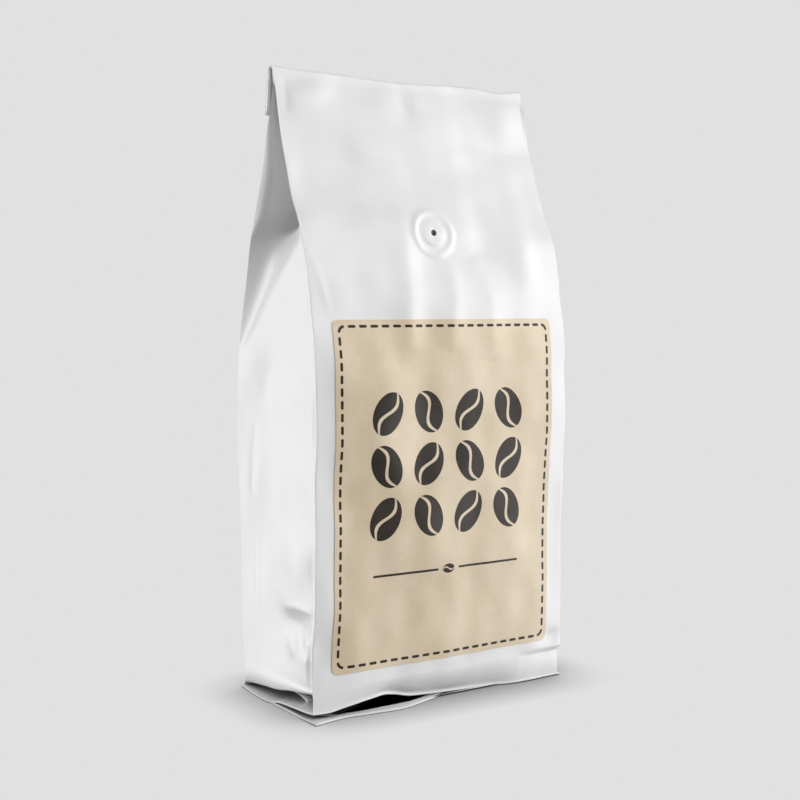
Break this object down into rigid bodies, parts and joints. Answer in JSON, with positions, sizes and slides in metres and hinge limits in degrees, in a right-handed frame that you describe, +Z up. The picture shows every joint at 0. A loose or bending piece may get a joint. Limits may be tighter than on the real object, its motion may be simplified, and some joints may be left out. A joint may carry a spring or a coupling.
{
  "type": "coffee bag",
  "caption": "Filled white side-gusset coffee bag standing upright, with a folded top seal, a one-way valve and a tan front label.",
  "frame": {"origin": "middle of the foot, on the surface that the bag stands on", "axes": "+Z up, -Y out of the front panel with the label, +X to the right as seen from the front"},
  "size_m": [0.1258, 0.0676, 0.2502],
  "materials": {
    "film": "satin white film over foil, softly creased",
    "label": "smooth tan paper with a dashed dark brown border",
    "valve": "satin white"
  },
  "bodies": {
    "root": {"bag": "film", "label": "label", "valve": "valve"}
  },
  "joints": []
}
